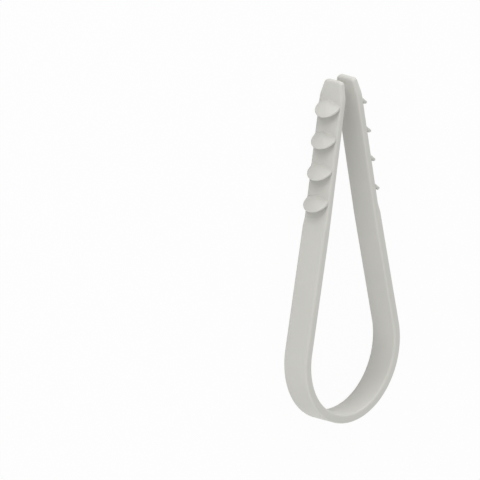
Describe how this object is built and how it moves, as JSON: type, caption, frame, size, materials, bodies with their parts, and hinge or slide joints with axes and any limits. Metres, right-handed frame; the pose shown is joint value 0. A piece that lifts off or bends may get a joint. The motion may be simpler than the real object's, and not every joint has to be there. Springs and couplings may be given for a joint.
{
  "type": "cable clip",
  "caption": "Moulded push-in cable clip: a strap looped round a cable, its barbed legs squeezed together and pushed into a drilled hole.",
  "frame": {"origin": "on the axis of the cable loop, level with the edge of the strap that the clip lies on", "axes": "+Y along the legs towards the tips, +Z along the axis of the loop, up from the edge the clip lies on"},
  "size_m": [0.0332, 0.0828, 0.007],
  "materials": {
    "plastic": "satin moulded light grey nylon"
  },
  "bodies": {
    "root": {"cable_clip": "plastic"}
  },
  "joints": []
}
